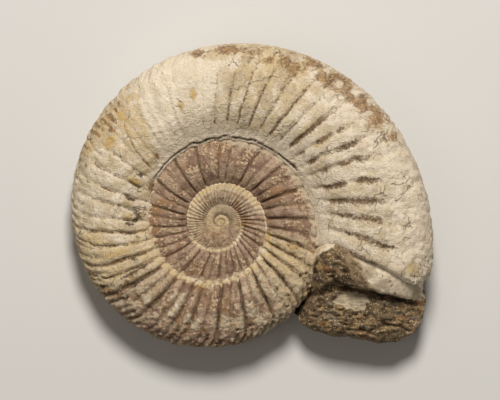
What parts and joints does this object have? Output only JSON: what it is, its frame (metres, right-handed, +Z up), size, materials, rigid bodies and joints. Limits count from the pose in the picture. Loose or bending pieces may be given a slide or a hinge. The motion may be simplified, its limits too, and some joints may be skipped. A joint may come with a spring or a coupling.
{
  "type": "ammonite fossil",
  "caption": "Loosely coiled, closely ribbed ammonite turned to pale limestone, lying on its side, with a lump of dark matrix rock in its mouth.",
  "frame": {"origin": "on the surface the fossil lies on, under the middle of its bounding box", "axes": "+Z up, square to the surface the fossil lies on and nearly square to the plane of the coil; +X along the longest diameter, towards the side where the mouth is; the mouth opens towards -Y"},
  "size_m": [0.1452, 0.122, 0.0354],
  "materials": {
    "shell_stone": "chalky, weathered limestone, cream to mauve-brown, matt",
    "matrix_stone": "rough, granular, earthy brown rock, matt"
  },
  "bodies": {
    "root": {"ammonite": "shell_stone", "matrix_rock": "matrix_stone"}
  },
  "joints": []
}
